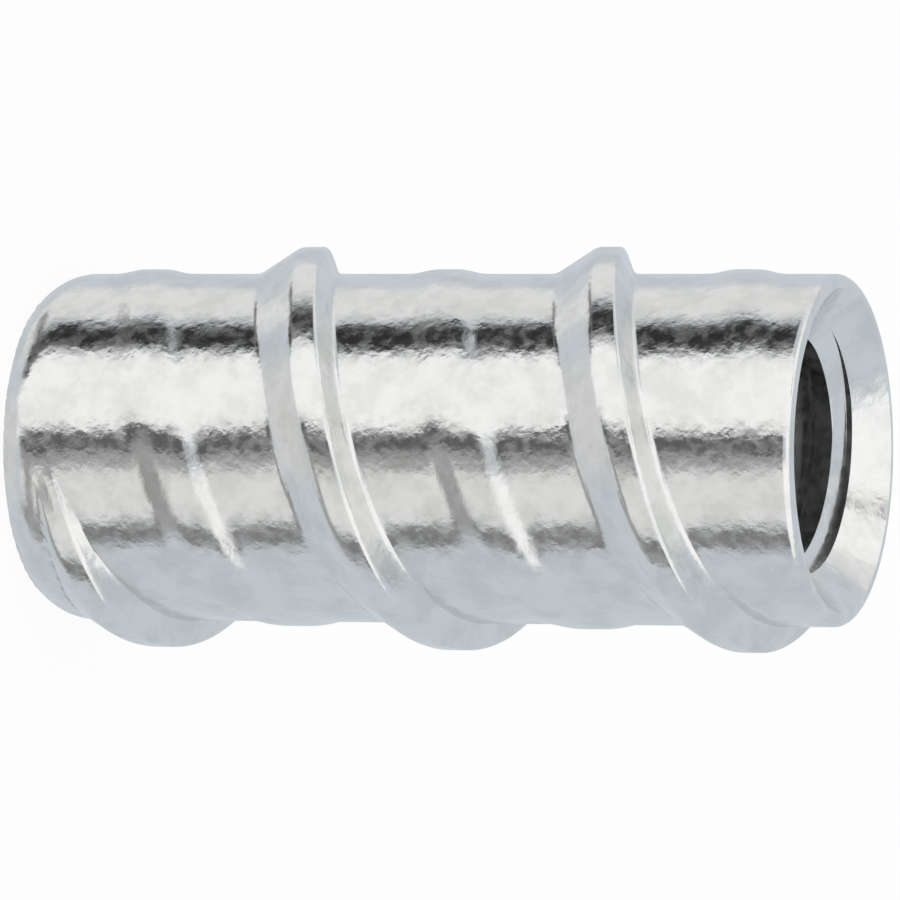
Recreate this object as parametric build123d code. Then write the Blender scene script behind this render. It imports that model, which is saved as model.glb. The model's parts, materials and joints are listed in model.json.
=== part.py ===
from build123d import *
import os
from math import asin, cos, degrees, radians, sin, sqrt, tan

# An internally threaded concrete screw anchor, cold formed in one piece.
# Frame: millimetres, +Z along the bore towards the mouth, origin at the centre of the leading face.

# Driving dimensions, millimetres and degrees.
anchor_length = 30.2        # leading face to mouth face
rod_major_diameter = 9.525  # 3/8-16 UNC, the bore's wall
wall_at_bore = 1.5875       # bore to plain body, which is 12.7 mm for a hole from a 1/2 in bit
base_thickness = 5.45       # leading face to the tip of the drilled end

leading_drop = 0.75         # how far the leading face's edge lies inside the plain body
leading_round = 2.0         # arc from the leading face up to the plain body
rim_round = 0.3             # outer edge of the mouth
mouth_land = 0.2            # flat ring between the rim's round and the lead-in cone

bore_bottom_angle = 120.0   # included angle of the bore's end
mouth_cone_angle = 90.0     # included angle of the lead-in cone

thread_lead = 11.4          # advance of either outer thread in one turn
thread_height_at_x = 4.27   # first crest of the high thread above the leading face, on the +X side

high_thread_height = 0.98   # crest above the plain body
high_crest_width = 0.95
high_leading_flank = 1.6    # along the axis, on the side that enters the hole first
high_trailing_flank = 0.42
high_crest_round = 0.12
high_root_round = 0.35

low_thread_height = 0.165
low_crest_width = 1.13
low_leading_flank = 0.83
low_trailing_flank = 0.69
low_crest_round = 0.3
low_thread_lag = 5.22       # low crest above the high crest

start_cone_angle = 50.0     # slope of the cone that trims the threads at the leading end
run_out_sweep = 80.0        # turn over which a thread sinks into the body before the mouth
mouth_collar = 0.9          # plain body left between the sunk thread's crest and the mouth face

# What follows from them.
bore_radius = rod_major_diameter / 2
body_radius = bore_radius + wall_at_bore
mouth_radius = body_radius - rim_round - mouth_land
mouth_cone_depth = (mouth_radius - bore_radius) / tan(radians(mouth_cone_angle / 2))
bore_tip_depth = bore_radius / tan(radians(bore_bottom_angle / 2))
leading_round_height = sqrt(leading_round**2 - (leading_round - leading_drop) ** 2)
thread_rise = thread_lead / 360.0  # per degree of turn

cut_margin = 1.0            # how far a cutting or trimming solid runs past what it cuts
root_sink = 0.5             # how deep a thread's foot is set into the body
root_overlap = 0.03         # how far a flank dips below the body's surface, so that they cross
path_step = 15.0            # degrees between points of a thread's path
tiny = 1e-6                 # two corners nearer than this are one


def turned(*edges):
    """The solid that an outline in the XZ plane sweeps out about Z."""
    return revolve(Plane.XZ * make_face(edges), Axis.Z)


def leading_outline():
    """The leading face and its round, from the axis up to the plain body."""
    turn = degrees(asin(leading_round_height / leading_round))
    face_round = CenterArc((body_radius - leading_round, leading_round_height), leading_round, -turn, turn)
    return [Line((0, 0), face_round @ 0), face_round]


def thread_section(height, crest, leading, trailing):
    """A ridge's corners as (radius, height along the axis) about the middle of its crest."""
    buried = body_radius - root_sink
    foot = body_radius - root_overlap
    top = body_radius + height
    spread = 1 + root_overlap / height
    leading_foot = -crest / 2 - leading * spread
    trailing_foot = crest / 2 + trailing * spread
    return [
        (buried, leading_foot - root_sink),
        (foot, leading_foot - root_sink),
        (foot, leading_foot),
        (top, -crest / 2),
        (top, crest / 2),
        (foot, trailing_foot),
        (foot, trailing_foot + root_sink),
        (buried, trailing_foot + root_sink),
    ]


def rounded(face, corners, size):
    """The face with the given corners rounded."""
    near = [v for v in face.vertices() if any(abs(v.X - x) + abs(v.Y - y) < tiny for x, y in corners)]
    return fillet(near, size)


def ridge(section, crest_height_at_x, height, half_width):
    """The section carried up a right-hand helix, from below the leading face to its run-out."""
    start = (-half_width - cut_margin - crest_height_at_x) / thread_rise
    end = (anchor_length - mouth_collar - crest_height_at_x) / thread_rise
    run_out_start = end - run_out_sweep
    sink = height + 2 * root_overlap

    def point(angle):
        share = min(1.0, max(0.0, (angle - run_out_start) / run_out_sweep))
        radius = body_radius - sink * share**2 * (3 - 2 * share)
        turn = radians(angle)
        return Vector(radius * cos(turn), radius * sin(turn), crest_height_at_x + angle * thread_rise)

    steps = round((end - start) / path_step)
    path = Spline(*[point(start + (end - start) * i / steps) for i in range(steps + 1)])
    axis = Edge.make_line((0, 0, point(start).Z), (0, 0, point(end).Z))
    turn = radians(start)
    plane = Plane(
        origin=(0, 0, point(start).Z),
        x_dir=(cos(turn), sin(turn), 0),
        z_dir=(sin(turn), -cos(turn), 0),
    )
    return sweep(plane * section, path=path, binormal=axis)


def high_thread():
    corners = thread_section(high_thread_height, high_crest_width, high_leading_flank, high_trailing_flank)
    section = rounded(make_face(Polyline(*corners, close=True)), corners[3:5], high_crest_round)
    section = rounded(section, [corners[2], corners[5]], high_root_round)
    half_width = high_crest_width / 2 + high_trailing_flank
    return ridge(section, thread_height_at_x, high_thread_height, half_width)


def low_thread():
    corners = thread_section(low_thread_height, low_crest_width, low_leading_flank, low_trailing_flank)
    section = rounded(make_face(Polyline(*corners, close=True)), corners[3:5], low_crest_round)
    half_width = low_crest_width / 2 + low_trailing_flank
    crest_height = thread_height_at_x + low_thread_lag - thread_lead
    return ridge(section, crest_height, low_thread_height, half_width)


def body():
    """The plain body, with its rounded leading end and mouth edge."""
    leading = leading_outline()
    rim = CenterArc((body_radius - rim_round, anchor_length - rim_round), rim_round, 0, 90)
    return turned(
        *leading,
        Line(leading[-1] @ 1, rim @ 0),
        rim,
        Line(rim @ 1, (0, anchor_length)),
        Line((0, anchor_length), (0, 0)),
    )


def thread_envelope():
    """What the threads are trimmed to: the leading end's round, the start cone, and the mouth's edge."""
    leading = leading_outline()
    outer = body_radius + high_thread_height + cut_margin
    cone_end = leading_round_height + (outer - body_radius) / tan(radians(start_cone_angle))
    top = anchor_length - rim_round
    return turned(
        *leading,
        Line(leading[-1] @ 1, (outer, cone_end)),
        Line((outer, cone_end), (outer, top)),
        Line((outer, top), (0, top)),
        Line((0, top), (0, 0)),
    )


def bore():
    """The blind bore: a lead-in cone, the wall at the rod thread's major diameter, and a drilled end."""
    wall_start = anchor_length - mouth_cone_depth
    wall_end = base_thickness + bore_tip_depth
    top = anchor_length + cut_margin
    return turned(
        Line((0, base_thickness), (bore_radius, wall_end)),
        Line((bore_radius, wall_end), (bore_radius, wall_start)),
        Line((bore_radius, wall_start), (mouth_radius, anchor_length)),
        Line((mouth_radius, anchor_length), (mouth_radius, top)),
        Line((mouth_radius, top), (0, top)),
        Line((0, top), (0, base_thickness)),
    )


def anchor():
    envelope = thread_envelope()
    return body() + (high_thread() & envelope) + (low_thread() & envelope) - bore()


os.makedirs("parts", exist_ok=True)
export_step(anchor(), "parts/screw_anchor.step")
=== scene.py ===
import bpy
import bmesh
import json
import math
from math import atan2, cos, pi, radians, sin, sqrt, tan
from mathutils import Matrix, Vector


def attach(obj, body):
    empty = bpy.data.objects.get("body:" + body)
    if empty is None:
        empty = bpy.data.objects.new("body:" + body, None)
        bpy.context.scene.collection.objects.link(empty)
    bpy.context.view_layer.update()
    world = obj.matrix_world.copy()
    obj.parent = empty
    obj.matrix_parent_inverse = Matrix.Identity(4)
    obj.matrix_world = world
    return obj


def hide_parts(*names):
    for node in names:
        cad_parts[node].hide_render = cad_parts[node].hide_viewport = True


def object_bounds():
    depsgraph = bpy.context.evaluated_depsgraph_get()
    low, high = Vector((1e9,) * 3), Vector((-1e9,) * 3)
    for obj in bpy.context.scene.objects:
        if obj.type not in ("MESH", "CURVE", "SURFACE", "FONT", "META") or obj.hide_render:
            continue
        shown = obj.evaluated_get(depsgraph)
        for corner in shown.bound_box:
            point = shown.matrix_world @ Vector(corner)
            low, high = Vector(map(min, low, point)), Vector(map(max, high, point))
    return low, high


mm = 0.001
closeTo = 0.0001 * mm       # points nearer than this are one

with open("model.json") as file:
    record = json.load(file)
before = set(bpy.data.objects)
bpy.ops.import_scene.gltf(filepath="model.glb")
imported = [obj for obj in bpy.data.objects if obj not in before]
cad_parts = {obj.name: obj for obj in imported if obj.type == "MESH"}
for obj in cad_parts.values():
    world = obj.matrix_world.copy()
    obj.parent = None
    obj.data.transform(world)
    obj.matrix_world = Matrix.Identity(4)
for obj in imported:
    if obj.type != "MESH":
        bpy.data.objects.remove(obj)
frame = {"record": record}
cadLow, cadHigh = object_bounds()
threadMount = next(m for m in frame["record"]["mounts"] if m["name"] == "rod_thread")
print("frame loaded")


class Wire:
    # one output socket; arithmetic on it adds Math nodes to the same tree
    def __init__(self, graph, socket):
        self.graph = graph
        self.socket = socket

    def __add__(self, other):
        return self.graph.math("ADD", self, other)

    def __sub__(self, other):
        return self.graph.math("SUBTRACT", self, other)

    def __rsub__(self, other):
        return self.graph.math("SUBTRACT", other, self)

    def __mul__(self, other):
        return self.graph.math("MULTIPLY", self, other)

    def __truediv__(self, other):
        return self.graph.math("DIVIDE", self, other)

    __radd__ = __add__
    __rmul__ = __mul__


class Graph:
    def __init__(self, tree):
        self.tree = tree
        tree.nodes.clear()

    # settings are set first, then the sockets, by name or number, get a value or a wire
    def node(self, kind, settings=None, sockets=None, output=0):
        made = self.tree.nodes.new(kind)
        for name, value in (settings or {}).items():
            setattr(made, name, value)
        for name, value in (sockets or {}).items():
            if isinstance(value, Wire):
                self.tree.links.new(value.socket, made.inputs[name])
            else:
                made.inputs[name].default_value = value
        return Wire(self, made.outputs[output] if made.outputs else None)

    def math(self, operation, *values):
        return self.node("ShaderNodeMath", {"operation": operation}, dict(enumerate(values)))

    # 0 below low, 1 above high, smooth between
    def ramp(self, value, low, high):
        sockets = {"Value": value, "From Min": low, "From Max": high}
        return self.node("ShaderNodeMapRange", {"interpolation_type": "SMOOTHSTEP"}, sockets)

    def mixColour(self, factor, first, second):
        return self.node("ShaderNodeMix", {"data_type": "RGBA"}, {0: factor, 6: first, 7: second}, 2)

    def noise(self, vector, scale, detail=2.0, roughness=0.5):
        sockets = {"Vector": vector, "Scale": scale, "Detail": detail, "Roughness": roughness}
        return self.node("ShaderNodeTexNoise", {}, sockets)


def grey(level, tint=(1, 1, 1)):
    return tuple(level * t for t in tint) + (1,)


# Noise scales are per metre, and the bumps' heights are in metres.
zinc = {
    "clean": (0.785, 0.785, 0.775),
    "dull": (0.7, 0.71, 0.69),
    "dullScale": 700,
    "smooth": 0.13,
    "rough": 0.24,
    "roughScale": 2200,
    "grainScale": 3000,
    "grainHeight": 0.013 * mm,
    "rippleScale": 650,
    "rippleHeight": 0.028 * mm,
}


def zincSteel():
    made = bpy.data.materials.new("zincPlatedSteel")
    made.use_nodes = True
    g = Graph(made.node_tree)
    place = g.node("ShaderNodeTexCoord", output="Object")
    stain = g.ramp(g.noise(place, zinc["dullScale"], 4, 0.6), 0.4, 0.65)
    wear = g.ramp(g.noise(place, zinc["roughScale"], 3), 0.35, 0.65)
    grain = g.noise(place, zinc["grainScale"], 2)
    ripple = g.noise(place, zinc["rippleScale"], 2)
    height = grain * zinc["grainHeight"] + ripple * zinc["rippleHeight"]
    shader = g.node("ShaderNodeBsdfPrincipled", {}, {
        "Base Color": g.mixColour(stain, grey(1, zinc["clean"]), grey(1, zinc["dull"])),
        "Metallic": 1.0,
        "Roughness": wear * (zinc["rough"] - zinc["smooth"]) + zinc["smooth"],
        "Normal": g.node("ShaderNodeBump", {}, {"Strength": 1.0, "Distance": 1.0, "Height": height}),
    })
    g.node("ShaderNodeOutputMaterial", {}, {"Surface": shader})
    return made


anchor = {
    "length": cadHigh.z,
    "bodyRadius": 6.35 * mm,
    "faceRadius": 5.6 * mm,
    "leadingRound": 2.0 * mm,
    "rimRound": 0.3 * mm,
    "mouthRadius": 5.85 * mm,
    "coneHalfAngle": 45,
    "boreDepth": 22 * mm,
    "drillHalfAngle": 60,
    "lead": 11.4 * mm,
    "crestAtX": 4.27 * mm,      # the high thread's first crest on the +X side
    "startConeAngle": 50,
    "runInHeight": 1.1 * mm,    # of the crest, where a thread begins to rise
    "runInSweep": 80,
    "startBlend": 0.12 * mm,
    "runOutSweep": 80,
    "mouthCollar": 0.9 * mm,
    "stepsPerTurn": 240,
    "cornerPoints": (-1, -0.6, -0.2, 0.2, 0.6, 1),
    "longestStep": 0.2 * mm,
    "roundSteps": 8,
}
highThread = {
    "lag": 0.0,
    "height": 0.98 * mm,
    "crest": 0.95 * mm,
    "leadingFlank": 1.6 * mm,
    "trailingFlank": 0.42 * mm,
    "leadingRoot": 0.12 * mm,   # how much of the height each corner's rounding takes
    "leadingCrest": 0.12 * mm,
    "trailingCrest": 0.22 * mm,
    "trailingRoot": 0.3 * mm,
}
lowThread = {
    "lag": 5.22 * mm,
    "height": 0.165 * mm,
    "crest": 1.13 * mm,
    "leadingFlank": 0.83 * mm,
    "trailingFlank": 0.69 * mm,
    "leadingRoot": 0.04 * mm,
    "leadingCrest": 0.04 * mm,
    "trailingCrest": 0.06 * mm,
    "trailingRoot": 0.06 * mm,
}
rodThread = {
    "majorRadius": threadMount["dims"]["r_mm"] * mm,
    "minorRadius": 4.15 * mm,
    "pitch": 25.4 / 16 * mm,
    "rootFlat": 0.125,          # of the pitch
    "flankHalfAngle": 30,
    "overcut": 0.15 * mm,       # how far the cutter stands inside the drilled hole
    "startDepth": 0.0975 * mm,
    "depth": 19 * mm,
    "stepsPerTurn": 96,
}


def softMin(a, b, blend):
    return min(a, b) - max(blend - abs(a - b), 0) ** 2 / (4 * blend)


def softMax(a, b, blend):
    return -softMin(-a, -b, blend)


# Height of a thread over the plain body, at a distance along the axis from its crest.
def threadHeight(thread, offset, sink):
    side = "leading" if offset < 0 else "trailing"
    slope = thread["height"] / thread[side + "Flank"]
    flank = (thread["crest"] / 2 + thread[side + "Flank"] - abs(offset)) * slope
    height = softMin(flank, thread["height"], thread[side + "Crest"])
    return softMax(height - sink, 0, thread[side + "Root"])


def leadingRoundHeight():
    drop = anchor["bodyRadius"] - anchor["faceRadius"]
    return sqrt(anchor["leadingRound"] ** 2 - (anchor["leadingRound"] - drop) ** 2)


# Where the surface stands at an azimuth and a height: both threads follow right-hand helices, are cut
# down by the start cone, and sink into the body before the mouth.
def outerRadius(azimuth, z):
    lead, share = anchor["lead"], azimuth / (2 * pi)
    runOut = anchor["runOutSweep"] / 360 * lead
    runOutStart = anchor["length"] - anchor["mouthCollar"] - runOut
    runIn = anchor["runInSweep"] / 360 * lead
    height = 0.0
    for thread in (highThread, lowThread):
        phase = (z - anchor["crestAtX"] - thread["lag"]) / lead - share
        turn = round(phase)
        crest = (turn + share) * lead + anchor["crestAtX"] + thread["lag"]
        sunk = max((crest - runOutStart) / runOut, (anchor["runInHeight"] + runIn - crest) / runIn)
        sunk = min(max(sunk, 0), 1)
        sink = (thread["height"] + thread["trailingRoot"]) * sunk**2 * (3 - 2 * sunk)
        height += threadHeight(thread, (phase - turn) * lead, sink)
    edge, size = leadingRoundHeight(), anchor["leadingRound"]
    low = edge - min(max(z, 0), edge)
    base = anchor["bodyRadius"] - size + sqrt(size**2 - low**2)
    room = max(z - edge, 0) * tan(radians(anchor["startConeAngle"]))
    least = min(room, height)
    if least > 0:
        height = softMin(height, room, min(anchor["startBlend"], 2 * least))
    return base + min(height, room)


# Places along the axis where the outline needs a point: close together on each thread's corners.
def outlineStops():
    stops = []
    for thread in (highThread, lowThread):
        for way, side in ((-1, "leading"), (1, "trailing")):
            slope = thread["height"] / thread[side + "Flank"]
            top = thread["crest"] / 2
            root = top + thread[side + "Flank"]
            for corner, blend in ((top, thread[side + "Crest"]), (root, thread[side + "Root"])):
                stops += [thread["lag"] + way * (corner + blend / slope * c) for c in anchor["cornerPoints"]]
    stops.sort()
    stops.append(stops[0] + anchor["lead"])
    filled = [stops[0]]
    for stop in stops[1:]:
        gap = stop - filled[-1]
        parts = max(1, math.ceil(gap / anchor["longestStep"]))
        filled += [stop - gap * (parts - i) / parts for i in range(1, parts + 1)]
    return filled


# A new mesh of one point, left in edit mode and selected, to be extruded.
def startPoint(name, place):
    bpy.ops.object.select_all(action="DESELECT")
    bpy.ops.mesh.primitive_plane_add(size=mm)
    made = bpy.context.object
    made.name = name
    bpy.ops.object.mode_set(mode="EDIT")
    bpy.ops.mesh.merge(type="CENTER")
    bpy.ops.transform.translate(value=place)
    return made


def extrude(step):
    bpy.ops.mesh.extrude_region_move(TRANSFORM_OT_translate={"value": step})


# Edges of the open mesh are carried on as a ring of another radius and height.
def extrudeRing(radius, newRadius, rise):
    extrude((0, 0, rise))
    ratio = newRadius / radius
    bpy.ops.transform.resize(value=(ratio, ratio, 1), center_override=(0, 0, 0))


def extrudeOutline(outline):
    for (radius, z), (newRadius, newZ) in zip(outline, outline[1:]):
        extrudeRing(radius, newRadius, newZ - z)


def selectPoints(made, test):
    bpy.ops.mesh.select_all(action="DESELECT")
    points = bmesh.from_edit_mesh(made.data)
    for point in points.verts:
        point.select = test(point.co)
    points.select_flush_mode()
    bmesh.update_edit_mesh(made.data)


def turnInto(made, name, pitch, turns, steps):
    bpy.ops.object.mode_set(mode="OBJECT")
    screw = made.modifiers.new(name, "SCREW")
    screw.angle = 2 * pi
    screw.screw_offset = pitch
    screw.iterations = turns
    screw.steps = screw.render_steps = steps
    bpy.ops.object.modifier_apply(modifier=name)
    bpy.ops.object.mode_set(mode="EDIT")
    bpy.ops.mesh.select_all(action="SELECT")
    bpy.ops.mesh.remove_doubles(threshold=closeTo)


def arc(centreRadius, centreZ, size, start, end, steps):
    angles = [radians(start + (end - start) * i / steps) for i in range(steps + 1)]
    return [(centreRadius + size * cos(a), centreZ + size * sin(a)) for a in angles]


def makeBlank():
    stops = outlineStops()
    radius, lead = anchor["bodyRadius"], anchor["lead"]
    first = anchor["crestAtX"] - 2 * lead
    made = startPoint("screwAnchor", (radius, 0, first + stops[0]))
    for low, high in zip(stops, stops[1:]):
        extrude((0, 0, high - low))
    turnInto(made, "turns", lead, math.ceil(anchor["length"] / lead) + 3, anchor["stepsPerTurn"])
    bpy.ops.object.mode_set(mode="OBJECT")
    for point in made.data.vertices:
        place = point.co
        ratio = outerRadius(atan2(place.y, place.x), place.z) / radius
        point.co = (place.x * ratio, place.y * ratio, place.z)
    bpy.ops.object.mode_set(mode="EDIT")
    mouthEdge = anchor["length"] - anchor["rimRound"]
    for height, side in ((0, "clear_inner"), (mouthEdge, "clear_outer")):
        bpy.ops.mesh.select_all(action="SELECT")
        bpy.ops.mesh.bisect(plane_co=(0, 0, height), plane_no=(0, 0, 1), threshold=closeTo, **{side: True})
    return made


def closeEnds(made):
    radius, size, steps = anchor["bodyRadius"], anchor["rimRound"], anchor["roundSteps"]
    selectPoints(made, lambda place: place.z < closeTo)
    extrudeRing(anchor["faceRadius"], anchor["faceRadius"] / 2, 0)
    bpy.ops.mesh.merge(type="CENTER")

    top = anchor["length"]
    selectPoints(made, lambda place: place.z > top - size - closeTo)
    extrudeOutline(arc(radius - size, top - size, size, 0, 90, steps))
    hole = rodThread["minorRadius"]
    coneDepth = (anchor["mouthRadius"] - hole) / tan(radians(anchor["coneHalfAngle"]))
    bottom = top - anchor["boreDepth"]
    extrudeOutline([
        (radius - size, top),
        (anchor["mouthRadius"], top),
        (hole, top - coneDepth),
        (hole, bottom),
        (hole / 2, bottom - hole / 2 / tan(radians(anchor["drillHalfAngle"]))),
    ])
    extrude((0, 0, -hole / 2 / tan(radians(anchor["drillHalfAngle"]))))
    bpy.ops.mesh.merge(type="CENTER")
    bpy.ops.mesh.select_all(action="SELECT")
    bpy.ops.mesh.normals_make_consistent(inside=False)
    bpy.ops.object.mode_set(mode="OBJECT")


# The groove that the tap cuts, as a closed helical bar.
def makeTap():
    major, inner = rodThread["majorRadius"], rodThread["minorRadius"] - rodThread["overcut"]
    slope = tan(radians(rodThread["flankHalfAngle"]))
    flat = rodThread["rootFlat"] * rodThread["pitch"] / 2
    wide = flat + (major - inner) * slope
    turns = math.ceil((rodThread["depth"] - rodThread["startDepth"]) / rodThread["pitch"])
    lowest = anchor["length"] - rodThread["startDepth"] - turns * rodThread["pitch"]
    made = startPoint("tap", (inner, 0, lowest - wide))
    for step in ((major - inner, wide - flat), (0, 2 * flat), (inner - major, wide - flat)):
        extrude((step[0], 0, step[1]))
    bpy.ops.mesh.select_all(action="SELECT")
    bpy.ops.mesh.edge_face_add()
    turnInto(made, "tapTurns", rodThread["pitch"], turns, rodThread["stepsPerTurn"])
    bpy.ops.mesh.select_all(action="SELECT")
    bpy.ops.mesh.fill_holes(sides=4)
    bpy.ops.mesh.normals_make_consistent(inside=False)
    bpy.ops.object.mode_set(mode="OBJECT")
    return made


def tapHole(made, tap):
    bpy.ops.object.select_all(action="DESELECT")
    bpy.context.view_layer.objects.active = made
    made.select_set(True)
    cut = made.modifiers.new("tapped", "BOOLEAN")
    cut.operation = "DIFFERENCE"
    cut.solver = "EXACT"
    cut.object = tap
    bpy.ops.object.modifier_apply(modifier="tapped")
    bpy.data.objects.remove(tap)


steelAnchor = makeBlank()
closeEnds(steelAnchor)
tapHole(steelAnchor, makeTap())
bpy.ops.object.shade_smooth_by_angle(angle=radians(28))
steelAnchor.data.materials.append(zincSteel())
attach(steelAnchor, "root")
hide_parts("screw_anchor")
print("anchor made,", len(steelAnchor.data.polygons), "faces")


# The floor lies a hair below the leading face, so that the two are never in one plane.
floorSpec = {"radius": 1.5, "below": 0.01 * mm, "colour": 0.92, "cameraShare": 0.93}


def layFloor():
    bpy.ops.object.select_all(action="DESELECT")
    spot = (0, 0, -floorSpec["below"])
    bpy.ops.mesh.primitive_circle_add(vertices=96, radius=floorSpec["radius"], fill_type="NGON", location=spot)
    floor = bpy.context.object
    floor.name = "studioFloor"
    floor.visible_glossy = False
    made = bpy.data.materials.new("palePaper")
    made.use_nodes = True
    g = Graph(made.node_tree)
    paper = g.node("ShaderNodeBsdfDiffuse", {}, {"Color": grey(floorSpec["colour"])})
    white = g.node("ShaderNodeEmission", {}, {"Color": grey(1), "Strength": 1.0})
    seen = g.node("ShaderNodeLightPath", output="Is Camera Ray")
    mixed = g.node("ShaderNodeMixShader", {}, {0: seen * floorSpec["cameraShare"], 1: paper, 2: white})
    g.node("ShaderNodeOutputMaterial", {}, {"Surface": mixed})
    floor.data.materials.append(made)


layFloor()

# Strips of the studio that the steel mirrors: the way they lie round the anchor, in degrees from +Y
# through -X, their width and softness, how low and high they reach, and their brightness.
studioStrips = [
    {"centre": 67, "width": 36, "soft": 4, "low": -60, "high": 80, "level": 0.9},
    {"centre": 101.5, "width": 23, "soft": 3, "low": -60, "high": 0, "level": 0.03},
    {"centre": 92, "width": 64, "soft": 6, "low": -46, "high": -37, "level": 0.16},
    {"centre": 142, "width": 54, "soft": 3, "low": -70, "high": 60, "level": 1.12},
    {"centre": 176.5, "width": 15, "soft": 3, "low": -60, "high": 0, "level": 0.12},
    {"centre": 189, "width": 11, "soft": 3, "low": -60, "high": 0, "level": 0.42},
    {"centre": 212, "width": 36, "soft": 4, "low": -60, "high": 80, "level": 0.88},
    {"centre": 240, "width": 14, "soft": 5, "low": -60, "high": 0, "level": 0.24},
    {"centre": 221, "width": 66, "soft": 6, "low": -52, "high": -33, "level": 0.4},
    {"centre": 221, "width": 66, "soft": 6, "low": -2, "high": 60, "level": 1.15},
    {"centre": 155, "width": 190, "soft": 6, "low": 40, "high": 100, "level": 1.15},
    {"centre": 111, "width": 16, "soft": 4, "low": 56, "high": 66, "level": 0.35},
    {"centre": 180, "width": 352, "soft": 3, "low": -100, "high": -72, "level": 0.78},
]
# The rest of the tent is a bluish grey; the strips are neutral.
studio = {"base": 0.72, "tint": (0.91, 0.98, 1.05), "edge": 5, "least": 0.001}


def lightStudio():
    world = bpy.data.worlds.new("studioTent")
    bpy.context.scene.world = world
    world.use_nodes = True
    g = Graph(world.node_tree)
    way = g.node("ShaderNodeTexCoord", output="Generated")
    split = g.node("ShaderNodeSeparateXYZ", {}, {0: way})
    x, y, z = (Wire(g, split.socket.node.outputs[i]) for i in range(3))
    flat = g.math("MAXIMUM", g.math("SQRT", x * x + y * y), studio["least"])
    level = g.node("ShaderNodeValue")
    level.socket.default_value = studio["base"]
    tinted = g.node("ShaderNodeValue")
    tinted.socket.default_value = 1.0
    elevation = g.math("DEGREES", g.math("ARCSINE", z))
    edge = studio["edge"]
    for strip in studioStrips:
        middle, half, soft = radians(strip["centre"]), radians(strip["width"] / 2), radians(strip["soft"] / 2)
        near = (y * cos(middle) - x * sin(middle)) / flat
        inside = g.ramp(near, cos(half + soft), cos(max(half - soft, 0)))
        above = g.ramp(elevation, strip["low"] - edge, strip["low"] + edge)
        below = g.ramp(elevation, strip["high"] + edge, strip["high"] - edge)
        mask = inside * above * below
        level = level + mask * (strip["level"] - level)
        tinted = tinted * (1 - mask)
    colour = g.mixColour(tinted, grey(1), grey(1, studio["tint"]))
    glow = g.node("ShaderNodeBackground", {}, {"Color": colour, "Strength": level})
    white = g.node("ShaderNodeBackground", {}, {"Color": grey(1), "Strength": 1.0})
    seen = g.node("ShaderNodeLightPath", output="Is Camera Ray")
    mixed = g.node("ShaderNodeMixShader", {}, {0: seen, 1: glow, 2: white})
    g.node("ShaderNodeOutputWorld", {}, {"Surface": mixed})


lightStudio()

cameraSpec = {
    "elevation": 19.39,
    "distance": 406.4 * mm,
    "lens": 447.1,
    "roll": 0.311,
    "right": 0.121 * mm,    # how far the camera stands off the line to the anchor's middle
    "down": 0.056 * mm,
}


def placeCamera():
    tilt, roll = radians(cameraSpec["elevation"]), radians(cameraSpec["roll"])
    back = Vector((0, -cos(tilt), sin(tilt)))
    levelRight, levelUp = Vector((0, sin(tilt), cos(tilt))), Vector((-1, 0, 0))
    right = levelRight * cos(roll) + levelUp * sin(roll)
    up = levelUp * cos(roll) - levelRight * sin(roll)
    middle = Vector((0, 0, (cadLow.z + cadHigh.z) / 2))
    data = bpy.data.cameras.new("photoCamera")
    data.lens = cameraSpec["lens"]
    data.sensor_width = 36
    data.clip_start, data.clip_end = 0.01, 10
    camera = bpy.data.objects.new("photoCamera", data)
    bpy.context.scene.collection.objects.link(camera)
    spot = middle + back * cameraSpec["distance"] + right * cameraSpec["right"] - up * cameraSpec["down"]
    turn = Matrix((right, up, back)).transposed().to_4x4()
    camera.matrix_world = Matrix.Translation(spot) @ turn
    bpy.context.scene.camera = camera


placeCamera()
bpy.context.scene.view_settings.view_transform = "Standard"
print("stage, light and camera set")
